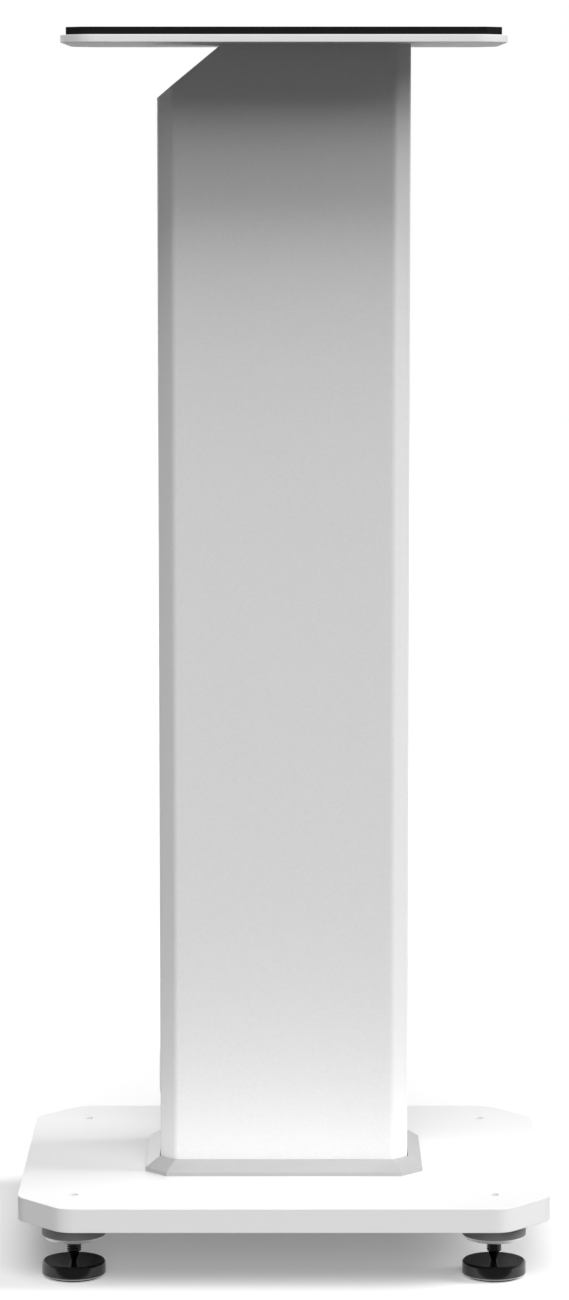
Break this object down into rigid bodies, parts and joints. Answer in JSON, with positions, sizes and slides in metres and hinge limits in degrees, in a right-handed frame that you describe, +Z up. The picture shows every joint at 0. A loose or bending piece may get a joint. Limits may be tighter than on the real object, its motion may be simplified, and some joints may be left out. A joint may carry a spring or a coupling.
{
  "type": "speaker stand",
  "caption": "Floor stand for a bookshelf loudspeaker: flat top plate with a pad, hollow column with a slanted cable notch, chamfered base board on levelling spikes and floor discs.",
  "frame": {"origin": "on the floor, at the middle of the base board's outline", "axes": "+Z up, +X to the stand's front, -X to its rear with the cable notch, +Y to its left"},
  "size_m": [0.35, 0.295, 0.815],
  "materials": {
    "white_coat": "matte",
    "column_coat": "matte",
    "white_lacquer": "satin",
    "grey_trim": "satin",
    "black_foam": "matte",
    "white_plastic": "matte",
    "grey_metal": "satin",
    "zinc_steel": "satin",
    "black_steel": "gloss",
    "black_gloss": "gloss"
  },
  "bodies": {
    "stand": {"top_pad": "black_foam", "top_plate": "white_coat", "top_plate_screws": "zinc_steel", "column": "column_coat", "cable_grommet": "white_plastic", "collar": "grey_trim", "base_board": "white_lacquer", "base_washers": "zinc_steel", "base_screws": "zinc_steel", "foot_puck_front_left": "grey_metal", "foot_insert_front_left": "zinc_steel", "foot_puck_front_right": "grey_metal", "foot_insert_front_right": "zinc_steel", "foot_puck_rear_left": "grey_metal", "foot_insert_rear_left": "zinc_steel", "foot_puck_rear_right": "grey_metal", "foot_insert_rear_right": "zinc_steel"},
    "foot_front_left": {"floor_disc_front_left": "black_gloss", "disc_pad_front_left": "black_foam"},
    "stud_front_left": {"spike_front_left": "black_steel"},
    "foot_front_right": {"floor_disc_front_right": "black_gloss", "disc_pad_front_right": "black_foam"},
    "stud_front_right": {"spike_front_right": "black_steel"},
    "foot_rear_left": {"floor_disc_rear_left": "black_gloss", "disc_pad_rear_left": "black_foam"},
    "stud_rear_left": {"spike_rear_left": "black_steel"},
    "foot_rear_right": {"floor_disc_rear_right": "black_gloss", "disc_pad_rear_right": "black_foam"},
    "stud_rear_right": {"spike_rear_right": "black_steel"}
  },
  "joints": [
    {"name": "level_front_left", "type": "slide", "parent": "stand", "child": "foot_front_left", "axis": [0, 0, 1], "range_m": [-0.008, 0.009]},
    {"name": "turn_front_left", "type": "hinge", "parent": "foot_front_left", "child": "stud_front_left", "pos_m": [0.1383, 0.1093, 0.0067], "axis": [0, 0, 1], "range_deg": [-1920, 2160]},
    {"name": "level_front_right", "type": "slide", "parent": "stand", "child": "foot_front_right", "axis": [0, 0, 1], "range_m": [-0.008, 0.009]},
    {"name": "turn_front_right", "type": "hinge", "parent": "foot_front_right", "child": "stud_front_right", "pos_m": [0.1383, -0.1093, 0.0067], "axis": [0, 0, 1], "range_deg": [-1920, 2160]},
    {"name": "level_rear_left", "type": "slide", "parent": "stand", "child": "foot_rear_left", "axis": [0, 0, 1], "range_m": [-0.008, 0.009]},
    {"name": "turn_rear_left", "type": "hinge", "parent": "foot_rear_left", "child": "stud_rear_left", "pos_m": [-0.1383, 0.1093, 0.0067], "axis": [0, 0, 1], "range_deg": [-1920, 2160]},
    {"name": "level_rear_right", "type": "slide", "parent": "stand", "child": "foot_rear_right", "axis": [0, 0, 1], "range_m": [-0.008, 0.009]},
    {"name": "turn_rear_right", "type": "hinge", "parent": "foot_rear_right", "child": "stud_rear_right", "pos_m": [-0.1383, -0.1093, 0.0067], "axis": [0, 0, 1], "range_deg": [-1920, 2160]}
  ],
  "couplings": [
    {"joint": "turn_front_left", "follows": "level_front_left", "rad_per_m": 4188.8},
    {"joint": "turn_front_right", "follows": "level_front_right", "rad_per_m": 4188.8},
    {"joint": "turn_rear_left", "follows": "level_rear_left", "rad_per_m": 4188.8},
    {"joint": "turn_rear_right", "follows": "level_rear_right", "rad_per_m": 4188.8}
  ]
}
